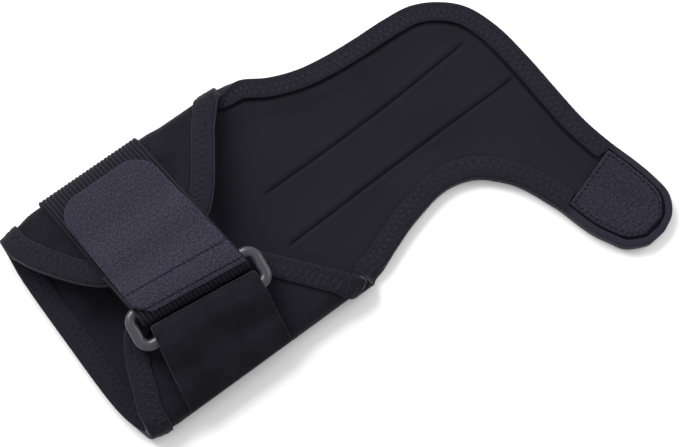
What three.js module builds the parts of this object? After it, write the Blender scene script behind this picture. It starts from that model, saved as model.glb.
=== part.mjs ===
// A wrist and thumb wrap lying flat with its lining up. Two flaps are folded over into a wrist cuff,
// an elastic strap runs round the cuff, turns back through a ring and ends in a hook tab, and a
// curved thumb tongue lies out to one side. X runs along the wrist, Y across the cuff, Z is up.
import * as THREE from 'three';

// Driving sizes, in millimetres
const CUFF_LENGTH = 103;      // wrist end to the thumb end of the folds
const BACK_WIDTH = 86.2;      // flat back of the cuff, between the starts of the two folds
const FOLD_RADIUS = 4.5;      // middle of the cloth at each fold
const FLAP_SLOPE = 13;        // degrees, slope of a flap where it leaves its fold
const UPPER_FLAP = 53.4;      // cloth past the back's edge, on the strap side
const LOWER_FLAP = 49.5;      // cloth past the back's edge, on the ring side
const TONGUE_REACH = 111;     // from the cuff to the far side of the tongue
const TONGUE_DROP = 98.2;     // from the cuff's middle line to the tip of the tongue
const CLOTH = 2.5;            // laminated wrap cloth
const TAPE = 0.8;             // edge binding
const TAPE_WIDTH = 7.2;       // binding arm on the cloth
const STRAP = 1.4;            // elastic
const STRAP_WIDTH = 44;
const TAB = 1.8;              // hook tab
const TAB_WIDTH = 42.5;
const TAB_TAPER = 3;          // how much narrower the tab is at its far end
const TAB_CORNER = 10;
const TAB_TRIM = 4.5;         // cut off the tab's near corner on the wrist side
const RING_LENGTH = 56;
const RING_HEIGHT = 17.5;
const RING_CORNER = 6;
const ROD_WIDTH = 4.4;        // ring rod, in the ring's plane
const ROD_DEPTH = 3.6;        // ring rod, across the ring's plane
const RING_TURN = -6.6;       // degrees in plan
const LOOP = 1.5;             // cloth of the ring loop
const LOOP_WIDTH = 42.5;
const PATCH = 1.5;            // hook patch on the tongue's tip
const PATCH_MARGIN = 2.2;     // from the tongue's cut edge to the patch
const GAP = 0.3;              // between sewn pieces
const TAPE_GAP = 0.36;        // between the binding and the cloth inside it
const ROD_PLAY = 0.4;         // between the ring's rod and the cloth round it
const EDGE_RISE = 1.4;        // how far the bound edges curl up
const EDGE_FADE = 10;         // width over which the curl dies out
const LIFT_FADE = 8;          // width over which the back settles beside the strap below it
const WRIST_PINCH = 0.045;    // how much narrower the cuff is drawn at its very wrist end
const WRIST_FADE = 15;        // length over which that narrowing dies out

// Sizes that follow from them
const BACK_HALF = BACK_WIDTH / 2;
const SLOPE = THREE.MathUtils.degToRad(FLAP_SLOPE);
const FOLD_ARC = FOLD_RADIUS * (Math.PI - SLOPE);
const FOLD_END = BACK_HALF + FOLD_ARC;
const CROWN_RADIUS = BACK_HALF / Math.sin(SLOPE) + FOLD_RADIUS;
const HALF_GIRTH = FOLD_END + CROWN_RADIUS * SLOPE;
const STRAP_LIFT = STRAP + GAP;
const TAPE_STACK = TAPE_GAP + TAPE;

// The wrist edge of each flap, from the back's edge to the flap's tip, and the thumb edge back again.
// along is a share of CUFF_LENGTH, out a share of the flap's length.
const UPPER_EDGE = [
  { along: 0.002, out: 0.333 }, { along: 0.021, out: 0.444 }, { along: 0.056, out: 0.578 },
  { along: 0.096, out: 0.699 }, { along: 0.142, out: 0.811 }, { along: 0.197, out: 0.908 },
  { along: 0.24, out: 0.953 }, { along: 0.3, out: 0.982 }, { along: 0.4, out: 1 },
  { along: 0.54, out: 0.998 }, { along: 0.62, out: 0.97 }, { along: 0.676, out: 0.907 },
  { along: 0.741, out: 0.775 }, { along: 0.81, out: 0.587 }, { along: 0.88, out: 0.392 },
  { along: 0.94, out: 0.252 }, { along: 0.98, out: 0.122 },
];
const LOWER_EDGE = [
  { along: 0, out: 0.36 }, { along: 0.022, out: 0.47 }, { along: 0.055, out: 0.64 },
  { along: 0.102, out: 0.8 }, { along: 0.165, out: 0.923 }, { along: 0.26, out: 0.982 },
  { along: 0.4, out: 1 }, { along: 0.52, out: 0.99 }, { along: 0.62, out: 0.945 },
  { along: 0.7, out: 0.842 }, { along: 0.742, out: 0.754 }, { along: 0.813, out: 0.582 },
  { along: 0.86, out: 0.465 }, { along: 0.92, out: 0.321 }, { along: 0.965, out: 0.206 },
  { along: 0.99, out: 0.135 },
];
// The bow of the wrist end. across is a share of BACK_WIDTH, inset a share of CUFF_LENGTH.
const WRIST_BOW = [
  { across: -0.7, inset: 0.058 }, { across: -0.65, inset: 0.052 }, { across: -0.58, inset: 0.044 },
  { across: -0.5, inset: 0.028 }, { across: -0.42, inset: 0.012 }, { across: -0.32, inset: 0.003 },
  { across: 0, inset: 0 }, { across: 0.4, inset: 0.003 }, { across: 0.5, inset: 0.012 },
  { across: 0.6, inset: 0.016 }, { across: 0.75, inset: 0.02 },
];
// Sections across the tongue, from its hollow side to its outer side.
// in and out are shares of TONGUE_REACH past the cuff, low and high shares of TONGUE_DROP.
const TONGUE = [
  { in: -0.026, low: -0.533, out: -0.026, high: 0.52 },
  { in: 0.009, low: -0.475, out: -0.018, high: 0.493 },
  { in: 0.063, low: -0.461, out: 0.063, high: 0.476 },
  { in: 0.135, low: -0.43, out: 0.153, high: 0.414 },
  { in: 0.216, low: -0.397, out: 0.252, high: 0.371 },
  { in: 0.297, low: -0.373, out: 0.36, high: 0.35 },
  { in: 0.37, low: -0.357, out: 0.486, high: 0.34 },
  { in: 0.428, low: -0.358, out: 0.613, high: 0.336 },
  { in: 0.486, low: -0.375, out: 0.72, high: 0.321 },
  { in: 0.534, low: -0.405, out: 0.806, high: 0.27 },
  { in: 0.571, low: -0.446, out: 0.874, high: 0.188 },
  { in: 0.611, low: -0.501, out: 0.913, high: 0.053 },
  { in: 0.641, low: -0.568, out: 0.926, high: -0.12 },
  { in: 0.664, low: -0.64, out: 0.928, high: -0.304 },
  { in: 0.68, low: -0.691, out: 0.932, high: -0.467 },
  { in: 0.694, low: -0.763, out: 0.951, high: -0.604 },
  { in: 0.714, low: -0.844, out: 0.976, high: -0.721 },
  { in: 0.741, low: -0.906, out: 0.991, high: -0.823 },
  { in: 0.765, low: -0.956, out: 0.991, high: -0.899 },
  { in: 0.803, low: -0.984, out: 0.955, high: -0.963 },
  { in: 0.838, low: -1, out: 0.903, high: -0.994 },
];
// Ribs of the hook patch: rows of TONGUE, counted from its first, on the hollow and the outer side
const PATCH_ROWS = [
  { inner: 14.3, outer: 15.1 }, { inner: 15, outer: 15.6 }, { inner: 16, outer: 16.3 },
  { inner: 17, outer: 17.1 }, { inner: 18, outer: 18 }, { inner: 18.5, outer: 18.5 },
  { inner: 18.8, outer: 18.8 },
];

// The strap's middle line, its hidden end under the back, and where its layers part and end.
// Distances run along the cloth from the cuff's middle line.
const STRAP_X = 0.414 * CUFF_LENGTH;
const STRAP_SKEW = 0.06;
const STRAP_START = 0.15 * BACK_WIDTH;
const RING_FROM_TIP = 22.8;   // from the upper flap's tip to the ring's middle line
const RING_X = STRAP_X + 3.5;
const LOOP_X = RING_X + 1.2;
const LOOP_SKEW = 0.15;
const LOOP_FLARE = 0.045;     // how fast each side of the loop widens from the ring to the fold
const RING_AT = BACK_HALF + UPPER_FLAP + RING_FROM_TIP;
const TAB_FAR = FOLD_END + 3.4;
const TAB_OVERHANG = 2.8;     // from the tab's near end to the ring's middle line
const SEWN_LENGTH = 24;       // overlap of the tab and the strap's turned end
const CLIMB_FROM = 22;        // before the flap's tip, where the strap starts to climb the binding
const CLIMB_TO = 12;
const BIGHT_REACH = 0.4;      // how far the strap's turn reaches short of the ring's middle line
const LOOP_REACH = 0.4;       // the same for the ring loop's turn

// Where the bow of the wrist end dies out and where the folds open into the flat tongue,
// as shares of CUFF_LENGTH
const BOW_END = 0.3;
const OPEN_FROM = 0.97;
const OPEN_TO = 1.11;
// The raised cloth above the strap is this much wider than the strap, and settles over this length
const LIFT_MARGIN = 3;
const LIFT_END = 30;

const smooth = (value, from, to) => THREE.MathUtils.smoothstep(value, from, to);

// Where a distance along the cloth from the cuff's middle line comes to lie: flat back, fold, crown.
// hold runs from 1 in the folded cuff to 0 in the flat tongue.
function foldPath(reach, hold) {
  const arcs = [
    { length: BACK_HALF, bend: 0 },
    { length: FOLD_ARC, bend: hold / FOLD_RADIUS },
    { length: Infinity, bend: hold / CROWN_RADIUS },
  ];
  const end = { across: 0, height: 0, turn: 0 };
  let left = reach;
  for (const { length, bend } of arcs) {
    const step = Math.min(left, length);
    const next = end.turn + step * bend;
    if (bend < 1e-6) {
      end.across += step * Math.cos(end.turn);
      end.height += step * Math.sin(end.turn);
    } else {
      end.across += (Math.sin(next) - Math.sin(end.turn)) / bend;
      end.height += (Math.cos(end.turn) - Math.cos(next)) / bend;
    }
    end.turn = next;
    left -= step;
    if (left <= 0) break;
  }
  return end;
}

// A table's rows as a smooth line, with steps points between rows.
function smoothLine(points, steps) {
  const knots = points.map(([x, y]) => new THREE.Vector3(x, y, 0));
  const curve = new THREE.CatmullRomCurve3(knots, false, 'centripetal');
  return curve.getPoints((points.length - 1) * steps).map((p) => [p.x, p.y]);
}

// The second number of a line of pairs at a given first number.
function readAcross(line, at) {
  if (at <= line[0][0]) return line[0][1];
  for (let k = 1; k < line.length; k += 1) {
    const [[a, from], [b, to]] = [line[k - 1], line[k]];
    if (at <= b) return from + ((to - from) * (at - a)) / (b - a);
  }
  return line[line.length - 1][1];
}

const flapPoint = (along, out, flap) => [along * CUFF_LENGTH, BACK_HALF + out * flap];
const flapEdge = (rows, flap) => rows.map(({ along, out }) => flapPoint(along, out, flap));
const upperEdge = flapEdge(UPPER_EDGE, UPPER_FLAP);
const lowerEdge = flapEdge(LOWER_EDGE, LOWER_FLAP);
const wristBow = WRIST_BOW.map(({ across, inset }) => [across * BACK_WIDTH, inset * CUFF_LENGTH]);
const ROW_STEPS = 8;          // points of the smooth tongue lines from row to row
const tonguePoint = (past, aside) => [CUFF_LENGTH + past * TONGUE_REACH, aside * TONGUE_DROP];
const tongueInner = smoothLine(TONGUE.map((row) => tonguePoint(row.in, row.low)), ROW_STEPS);
const tongueOuter = smoothLine(TONGUE.map((row) => tonguePoint(row.out, row.high)), ROW_STEPS);

// A section across the tongue at a row number that may fall between two rows.
function tongueEnds(row) {
  const at = Math.min(row * ROW_STEPS, tongueInner.length - 1);
  const k = Math.min(Math.floor(at), tongueInner.length - 2);
  const share = at - k;
  const mix = (line) => line[k].map((value, axis) => value + share * (line[k + 1][axis] - value));
  return [mix(tongueInner), mix(tongueOuter)];
}

// The cuff's ribs run across the cloth at one distance along the wrist.
const FOLD_STEPS = 7;
const BACK_STEPS = 10;
const FLAP_STEP = 8;
function columns() {
  const marks = [];
  for (let k = 0; k <= BACK_STEPS; k += 1) marks.push(-BACK_HALF + (k * BACK_WIDTH) / BACK_STEPS);
  for (let k = 1; k <= FOLD_STEPS; k += 1) {
    const reach = BACK_HALF + (k * FOLD_ARC) / FOLD_STEPS;
    marks.push(reach, -reach);
  }
  for (let reach = FOLD_END + FLAP_STEP; reach < HALF_GIRTH; reach += FLAP_STEP) marks.push(reach, -reach);
  return marks.sort((a, b) => a - b);
}
const COLUMNS = columns();
const MERGE = 1.3;            // columns nearer to an edge than this are left out

function cuffRib(along) {
  const low = -readAcross(lowerEdge, along);
  const high = readAcross(upperEdge, along);
  const inside = COLUMNS.filter((s) => s > low + MERGE && s < high - MERGE);
  return [low, ...inside, high].map((s) => {
    const bow = readAcross(wristBow, s) * (1 - smooth(along, 0, BOW_END * CUFF_LENGTH));
    return { x: along + bow, s };
  });
}

// Ribs across the tongue. Near the cuff they keep the fold's close columns, further out they have
// one column at the inner line of the binding on each side and a few between.
const CUFF_LIKE = 3;
const EDGE_COLUMN = TAPE_WIDTH + 1;
const MIDDLE_STEP = 13;
function tongueRib(row, margin = 0, outerRow = row) {
  const [[x0, s0], [x1, s1]] = [tongueEnds(row)[0], tongueEnds(outerRow)[1]];
  const length = Math.hypot(x1 - x0, s1 - s0);
  let marks = COLUMNS.map((s) => ((s - s0) / (s1 - s0)) * length);
  if (row > CUFF_LIKE) {
    const inner = EDGE_COLUMN + EDGE_FADE;
    const count = Math.max(1, Math.round((length - 2 * inner) / MIDDLE_STEP));
    marks = Array.from({ length: count + 1 }, (_, k) => inner + ((length - 2 * inner) * k) / count);
    if (length < 2 * inner + MERGE) marks = [length / 2];
    marks = [EDGE_COLUMN, ...marks, length - EDGE_COLUMN];
    if (length < 2 * EDGE_COLUMN + MERGE) marks = [length / 2];
  }
  const inside = marks.filter((mark) => mark > margin + MERGE && mark < length - margin - MERGE);
  return [margin, ...inside, length - margin].map((mark) => {
    const share = mark / length;
    return { x: x0 + share * (x1 - x0), s: s0 + share * (s1 - s0), row };
  });
}

const CUFF_RIBS = [
  0, 0.012, 0.026, 0.045, 0.07, 0.1, 0.135, 0.175, 0.23, 0.3, 0.38, 0.46, 0.54, 0.6, 0.645,
  0.69, 0.735, 0.78, 0.825, 0.87, 0.905, 0.925, 0.94, 0.952, 0.963,
];
const TONGUE_ROWS = [
  0, 0.25, 0.5, 0.75, 1, 1.2, 1.4, 1.6, 1.8, 2, 2.33, 2.67, 3, 4, 5, 6, 7, 8, 8.5, 9, 9.5, 10, 10.5,
  11, 12, 13, 13.6, 14, 14.22, 14.3, 15.04, 15.1, 16, 17, 18, 18.5, 19, 19.5, 20,
];
const cuffRibs = CUFF_RIBS.map((share) => cuffRib(share * CUFF_LENGTH));
const tongueRibs = TONGUE_ROWS.map((row) => tongueRib(row));
const ribs = [...cuffRibs, ...tongueRibs];
const foldRibs = ribs.filter((rib) => (rib[0].row || 0) <= CUFF_LIKE).length;

// The cut edge as a closed line, counter-clockwise seen from above, with its inward direction.
function closedEdge() {
  const last = ribs[ribs.length - 1];
  const line = [
    ...ribs.map((rib) => rib[0]),
    ...last.slice(1, -1),
    ...ribs.map((rib) => rib[rib.length - 1]).reverse(),
    ...[...ribs[0]].reverse().slice(1, -1),
  ];
  return line.map((point, k) => {
    const before = line[(k + line.length - 1) % line.length];
    const after = line[(k + 1) % line.length];
    const d0 = new THREE.Vector2(point.x - before.x, point.s - before.s).normalize();
    const d1 = new THREE.Vector2(after.x - point.x, after.s - point.s).normalize();
    const along = d0.clone().add(d1).normalize();
    return { ...point, nx: -along.y, ns: along.x };
  });
}
const edge = closedEdge();

function edgeDistance(x, s) {
  let best = Infinity;
  for (let k = 0; k < edge.length; k += 1) {
    const a = edge[k];
    const b = edge[(k + 1) % edge.length];
    const [dx, ds] = [b.x - a.x, b.s - a.s];
    const share = THREE.MathUtils.clamp(((x - a.x) * dx + (s - a.s) * ds) / (dx * dx + ds * ds), 0, 1);
    best = Math.min(best, Math.hypot(x - a.x - share * dx, s - a.s - share * ds));
  }
  return best;
}

const LOOP_AT = 2 * HALF_GIRTH - RING_AT;
const strapMiddle = (s) => STRAP_X + STRAP_SKEW * (s - FOLD_END);
const loopMiddle = (s) => LOOP_X + LOOP_SKEW * (s - LOOP_AT);

// How far the cloth is raised by the strap beneath it.
function strapLift(x, s) {
  const aside = Math.abs(x - strapMiddle(s)) - STRAP_WIDTH / 2 - LIFT_MARGIN;
  const start = smooth(s, STRAP_START - LIFT_FADE - LIFT_MARGIN, STRAP_START - LIFT_MARGIN);
  const end = 1 - smooth(s, FOLD_END, FOLD_END + LIFT_END);
  return STRAP_LIFT * start * end * (1 - smooth(aside, 0, LIFT_FADE));
}

// A point of the cloth: x along the wrist, s across the cloth, t up from its middle to the lining.
function place(x, s, t) {
  const hold = 1 - smooth(x, OPEN_FROM * CUFF_LENGTH, OPEN_TO * CUFF_LENGTH);
  const side = s < 0 ? -1 : 1;
  const { across, height, turn } = foldPath(Math.abs(s), hold);
  const curl = EDGE_RISE * (1 - smooth(edgeDistance(x, s), TAPE_WIDTH, TAPE_WIDTH + EDGE_FADE));
  const rise = strapLift(x, s) + curl * Math.max(0, Math.cos(turn));
  const pinch = 1 - WRIST_PINCH * (1 - smooth(x, 0, WRIST_FADE));
  return new THREE.Vector3(
    x,
    side * pinch * (across - t * Math.sin(turn)),
    CLOTH / 2 + height + t * Math.cos(turn) + rise,
  );
}

// A closed skin from a list of corner points and triangles, turned so that its faces point out.
function solid(name, points, faces, finish) {
  const volume = faces.reduce((sum, [a, b, c]) => {
    return sum + points[a].dot(new THREE.Vector3().crossVectors(points[b], points[c]));
  }, 0);
  if (volume < 0) faces.forEach((face) => face.reverse());
  const geometry = new THREE.BufferGeometry();
  const flat = points.flatMap((p) => [p.x, p.y, p.z]);
  geometry.setAttribute('position', new THREE.Float32BufferAttribute(flat, 3));
  geometry.setIndex(faces.flat());
  geometry.computeVertexNormals();
  const mesh = new THREE.Mesh(geometry, new THREE.MeshStandardMaterial(finish));
  mesh.name = name;
  return mesh;
}

// A cloth of even thickness over ribs that may each have their own number of points.
function clothSolid(name, sheetRibs, key, toPoint, finish) {
  const points = [];
  const numbers = sheetRibs.map((rib) => rib.map((p) => {
    points.push(toPoint(p, 1), toPoint(p, -1));
    return points.length - 2;
  }));
  const faces = [];
  const pair = (a, b, c) => faces.push([a, b, c], [a + 1, c + 1, b + 1]);
  for (let k = 1; k < sheetRibs.length; k += 1) {
    let [i, j] = [0, 0];
    const [left, right] = [sheetRibs[k - 1], sheetRibs[k]];
    while (i < left.length - 1 || j < right.length - 1) {
      const leftNext = i < left.length - 1 ? key(left[i + 1], left, i + 1, k) : Infinity;
      const rightNext = j < right.length - 1 ? key(right[j + 1], right, j + 1, k) : Infinity;
      if (rightNext <= leftNext) {
        pair(numbers[k - 1][i], numbers[k][j], numbers[k][j + 1]);
        j += 1;
      } else {
        pair(numbers[k - 1][i], numbers[k][j], numbers[k - 1][i + 1]);
        i += 1;
      }
    }
  }
  const rim = [
    ...numbers.map((row) => row[0]),
    ...numbers[numbers.length - 1].slice(1, -1),
    ...numbers.map((row) => row[row.length - 1]).reverse(),
    ...[...numbers[0]].reverse().slice(1, -1),
  ];
  rim.forEach((p, k) => {
    const q = rim[(k + 1) % rim.length];
    faces.push([p, p + 1, q + 1], [p, q + 1, q]);
  });
  return solid(name, points, faces, finish);
}

// A bar of changing section. Each row is one section's corners in the same order.
function barSolid(name, rows, closed, finish) {
  const points = rows.flat();
  const sides = rows[0].length;
  const faces = [];
  const count = closed ? rows.length : rows.length - 1;
  for (let r = 0; r < count; r += 1) {
    const next = (r + 1) % rows.length;
    for (let c = 0; c < sides; c += 1) {
      const d = (c + 1) % sides;
      const [here, there] = [r * sides, next * sides];
      faces.push([here + c, there + c, there + d], [here + c, there + d, here + d]);
    }
  }
  return { name, points, faces, sides, finish };
}

function withEnds(bar, capFaces) {
  const last = bar.points.length - bar.sides;
  for (const [a, b, c] of capFaces) bar.faces.push([a, b, c], [last + c, last + b, last + a]);
  return solid(bar.name, bar.points, bar.faces, bar.finish);
}

const FINISH = {
  wrap: { color: 0x1b1b24, roughness: 0.92, metalness: 0 },
  tape: { color: 0x23232e, roughness: 0.85, metalness: 0 },
  elastic: { color: 0x17171e, roughness: 0.8, metalness: 0 },
  hook: { color: 0x343646, roughness: 0.9, metalness: 0 },
  ring: { color: 0x40424e, roughness: 0.45, metalness: 0 },
  loop: { color: 0x191922, roughness: 0.9, metalness: 0 },
};

// The wrap: back, both flaps and the tongue in one cloth.
function wrapPanel() {
  const key = (point, rib, index, k) => {
    if (k < foldRibs) return point.s;
    return index / (rib.length - 1);
  };
  return clothSolid('wrap_panel', ribs, key, (p, face) => place(p.x, p.s, (face * CLOTH) / 2), FINISH.wrap);
}

// Binding: a channel round the cut edge. d runs outward from the edge, t across the cloth. Its arms
// have a few steps across, so that they bend where they cross a fold at a slant.
const ARM_STEPS = 3;
function bindingSection(armIn) {
  const inner = CLOTH / 2 + TAPE_GAP;
  const outer = inner + TAPE;
  const side = TAPE_GAP + TAPE;
  const arm = (width, t) => Array.from({ length: ARM_STEPS }, (_, k) => [-width * (1 - k / ARM_STEPS), t]);
  return [
    ...arm(TAPE_WIDTH, -outer), [side - TAPE, -outer], [side, -outer + TAPE], [side, outer - TAPE],
    [side - TAPE, outer], ...arm(armIn, outer).reverse(), ...arm(armIn, inner), [TAPE_GAP, inner],
    [TAPE_GAP, -inner], ...arm(TAPE_WIDTH, -inner).reverse(),
  ];
}

// The binding's arm on the lining ends at the hook patch's near edge and is narrow beside the patch.
const ARM_CLEAR = 0.6;        // from the end of the arm to the patch's near edge
const patchLow = tongueEnds(PATCH_ROWS[0].inner)[0];
const patchHigh = tongueEnds(PATCH_ROWS[0].outer)[1];
function armWidth(point) {
  const narrow = PATCH_MARGIN - 2 * GAP - 0.1;
  if (!point.row) return TAPE_WIDTH;
  const near = new THREE.Vector2(patchHigh[0] - patchLow[0], patchHigh[1] - patchLow[1]).normalize();
  const away = (point.s - patchLow[1]) * near.x - (point.x - patchLow[0]) * near.y;
  const growth = point.ns * near.x - point.nx * near.y;
  if (away + PATCH_MARGIN * growth < ARM_CLEAR) return narrow;
  if (away + TAPE_WIDTH * growth >= ARM_CLEAR) return TAPE_WIDTH;
  return Math.max(narrow, (ARM_CLEAR - away) / growth);
}

function binding(name, line) {
  const rows = line.map((point) => {
    return bindingSection(armWidth(point)).map(([d, t]) => {
      const x = point.x - d * point.nx;
      const s = point.s - d * point.ns;
      const hinge = place(x, s, t);
      const root = place(point.x, point.s, t);
      hinge.z += d > 0 ? root.z - place(point.x, point.s, 0).z - (hinge.z - place(x, s, 0).z) : 0;
      return hinge;
    });
  });
  const profile = bindingSection(TAPE_WIDTH).map(([d, t]) => new THREE.Vector2(d, t));
  const winding = Math.sign(THREE.ShapeUtils.area(profile));
  const caps = THREE.ShapeUtils.triangulateShape([...profile], []).map((cap) => {
    const turned = Math.sign(THREE.ShapeUtils.area(cap.map((k) => profile[k]))) !== winding;
    return turned ? cap.reverse() : cap;
  });
  return withEnds(barSolid(name, rows, false, FINISH.tape), caps);
}

// The closed edge is cut at the two corners where the cuff meets the tongue.
const CORNER_GAP = 0.4;       // from each corner to the end of each binding
function bindings() {
  const lowCorner = cuffRibs.length;
  const lastRib = ribs[ribs.length - 1];
  const highCorner = lowCorner + (tongueRibs.length - 1) + (lastRib.length - 2) + tongueRibs.length;
  const nudge = (point, toward) => {
    const step = new THREE.Vector2(toward.x - point.x, toward.s - point.s).setLength(CORNER_GAP);
    return { ...point, x: point.x + step.x, s: point.s + step.y };
  };
  const cut = (from, to) => {
    const line = [];
    for (let k = from; k <= to; k += 1) line.push(edge[k % edge.length]);
    line[0] = nudge(line[0], line[1]);
    line[line.length - 1] = nudge(line[line.length - 1], line[line.length - 2]);
    return line;
  };
  return [
    binding('thumb_binding', cut(lowCorner, highCorner)),
    binding('cuff_binding', cut(highCorner, edge.length + lowCorner)),
  ];
}

// Straps: each station has its distance across the cloth, its height over the cloth's outer face
// and the direction of its own thickness there.
const RING_SKEW = Math.tan(THREE.MathUtils.degToRad(-RING_TURN));
const BAR_OFF = (RING_HEIGHT - ROD_WIDTH) / 2;
const ROD_CENTRE = TAPE_STACK + GAP + STRAP + ROD_PLAY + ROD_DEPTH / 2;

function ribbon(name, stations, width, thick, side, finish) {
  const rows = stations.map(({ s, h, lean, narrow = 0, trim = 0, skew = 0 }) => {
    const corners = [[-1, 1], [1, 1], [1, -1], [-1, -1]];
    return corners.map(([edgeSide, face]) => {
      const aside = edgeSide * (width / 2 - narrow - (edgeSide < 0 ? trim : 0));
      const middle = side > 0 ? strapMiddle(s) : loopMiddle(s);
      const shift = side * skew * RING_SKEW * (aside + middle - RING_X);
      const away = (face * thick) / 2;
      const across = s + shift + away * lean[0];
      const out = h + away * lean[1];
      return place(middle + aside, side * across, -(CLOTH / 2 + out));
    });
  });
  const bar = barSolid(name, side > 0 ? rows : rows.reverse(), false, finish);
  return withEnds(bar, [[0, 1, 2], [0, 2, 3]]);
}

// Leans each station's thickness square to the path through the stations.
function withLean(path) {
  return path.map((station, k) => {
    const before = path[Math.max(0, k - 1)];
    const after = path[Math.min(path.length - 1, k + 1)];
    const along = new THREE.Vector2(after.s - before.s, after.h - before.h).normalize();
    return { ...station, lean: [-along.y, along.x] };
  });
}

// The strap rises from the flap onto the flap's binding ahead of it.
const FLAP_TIP = BACK_HALF + UPPER_FLAP;
const climb = (s) => smooth(s, FLAP_TIP - CLIMB_FROM, FLAP_TIP - CLIMB_TO);
const layerOne = (s) => GAP + STRAP / 2 + TAPE_STACK * climb(s);
const STRAP_BOTTOM = layerOne(Infinity);
const BIGHT_RADIUS = ROD_DEPTH / 2 + ROD_PLAY + STRAP / 2;
const BIGHT_AT = RING_AT - BIGHT_REACH - STRAP / 2 - BIGHT_RADIUS;
const TAB_NEAR = RING_AT - TAB_OVERHANG;
const TURNED_END = TAB_NEAR - SEWN_LENGTH;
const turnedLayer = (s) => {
  const low = STRAP_BOTTOM + STRAP + GAP;
  const high = STRAP_BOTTOM + 2 * BIGHT_RADIUS;
  return THREE.MathUtils.lerp(low, high, smooth(s, TURNED_END + 3, BIGHT_AT - 2));
};
const skewAt = (s) => smooth(s, TURNED_END, BIGHT_AT - 4);

function evenly(from, to, step) {
  const count = Math.max(1, Math.round(Math.abs(to - from) / step));
  return Array.from({ length: count + 1 }, (_, k) => from + ((to - from) * k) / count);
}

function foldStops() {
  return Array.from({ length: FOLD_STEPS + 1 }, (_, k) => BACK_HALF + (k * FOLD_ARC) / FOLD_STEPS);
}

// A half turn about a rod, from below it to above it.
function turn(centre, height, radius, steps) {
  return Array.from({ length: steps + 1 }, (_, k) => {
    const angle = Math.PI * (k / steps - 0.5);
    return { s: centre + radius * Math.cos(angle), h: height + radius * Math.sin(angle), skew: 1 };
  });
}

function elasticStrap() {
  const under = [...evenly(STRAP_START, BACK_HALF, 10), ...foldStops().slice(1)];
  const over = evenly(FOLD_END, BIGHT_AT, 5).slice(1, -1);
  const low = [...under, ...over].map((s) => ({ s, h: layerOne(s), skew: skewAt(s) }));
  const bight = turn(BIGHT_AT, STRAP_BOTTOM + BIGHT_RADIUS, BIGHT_RADIUS, 8);
  const turned = evenly(BIGHT_AT, TURNED_END, 3).slice(1);
  const high = turned.map((s) => ({ s, h: turnedLayer(s), skew: skewAt(s) }));
  const path = withLean([...low, ...bight, ...high]);
  return ribbon('elastic_strap', path, STRAP_WIDTH, STRAP, 1, FINISH.elastic);
}

function hookTab() {
  const stack = STRAP / 2 + GAP + TAB / 2;
  const settle = (s) => {
    const near = smooth(s, TURNED_END - 16, TURNED_END - 1);
    return THREE.MathUtils.lerp(layerOne(TAB_FAR), turnedLayer(s), near);
  };
  const corner = evenly(0, TAB_CORNER, 2).map((d) => TAB_FAR + d);
  const rest = evenly(TAB_FAR + TAB_CORNER, TAB_NEAR, 3.5).slice(1);
  const path = [...corner, ...rest].map((s) => {
    const left = Math.max(0, TAB_CORNER - (s - TAB_FAR));
    const taper = (TAB_TAPER / 2) * (1 - (s - TAB_FAR) / (TAB_NEAR - TAB_FAR));
    const narrow = taper + TAB_CORNER - Math.sqrt(TAB_CORNER ** 2 - left ** 2);
    const trim = Math.max(0, TAB_TRIM - (TAB_NEAR - s));
    return { s, h: stack + settle(s), narrow, trim, skew: skewAt(s) };
  });
  return ribbon('hook_tab', withLean(path), TAB_WIDTH, TAB, 1, FINISH.hook);
}

// The ring loop: cloth folded round the ring's far bar and sewn down over the lower fold.
const LOOP_HEM = 0.65;        // share of the lower fold, from the back, that the loop leaves bare
function ringLoop() {
  const radius = ROD_DEPTH / 2 + ROD_PLAY + LOOP / 2;
  const centre = LOOP_AT - LOOP_REACH - LOOP / 2 - radius;
  const low = ROD_CENTRE - radius;
  const merge = centre - BAR_OFF - ROD_WIDTH - 4;
  const upperAt = (s) => {
    const onFlap = GAP + LOOP / 2;
    const onLayer = onFlap + LOOP + GAP;
    const drop = THREE.MathUtils.lerp(onFlap, onLayer, smooth(s, merge - 10, merge - 3));
    return THREE.MathUtils.lerp(drop, ROD_CENTRE + radius, smooth(s, merge, centre - 4));
  };
  const lowerAt = (s) => THREE.MathUtils.lerp(GAP + LOOP / 2, low, smooth(s, merge, centre - 4));
  const skew = (s) => smooth(s, merge - 12, centre - 3);
  const under = evenly(merge - 2, centre, 2.5).slice(0, -1);
  const lower = under.map((s) => ({ s, h: lowerAt(s), skew: skew(s) }));
  const bight = turn(centre, ROD_CENTRE, radius, 8);
  const stops = foldStops().filter((s) => s > BACK_HALF + LOOP_HEM * FOLD_ARC);
  const top = [...evenly(centre, FOLD_END, 2.5).slice(1, -1), ...stops.reverse()];
  const upper = top.map((s) => ({ s, h: upperAt(s), skew: skew(s) }));
  const flare = (station) => ({ ...station, narrow: LOOP_FLARE * (station.s - LOOP_AT) });
  const path = withLean([...lower, ...bight, ...upper]).map(flare);
  return ribbon('ring_loop', path, LOOP_WIDTH, LOOP, -1, FINISH.loop);
}

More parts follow.
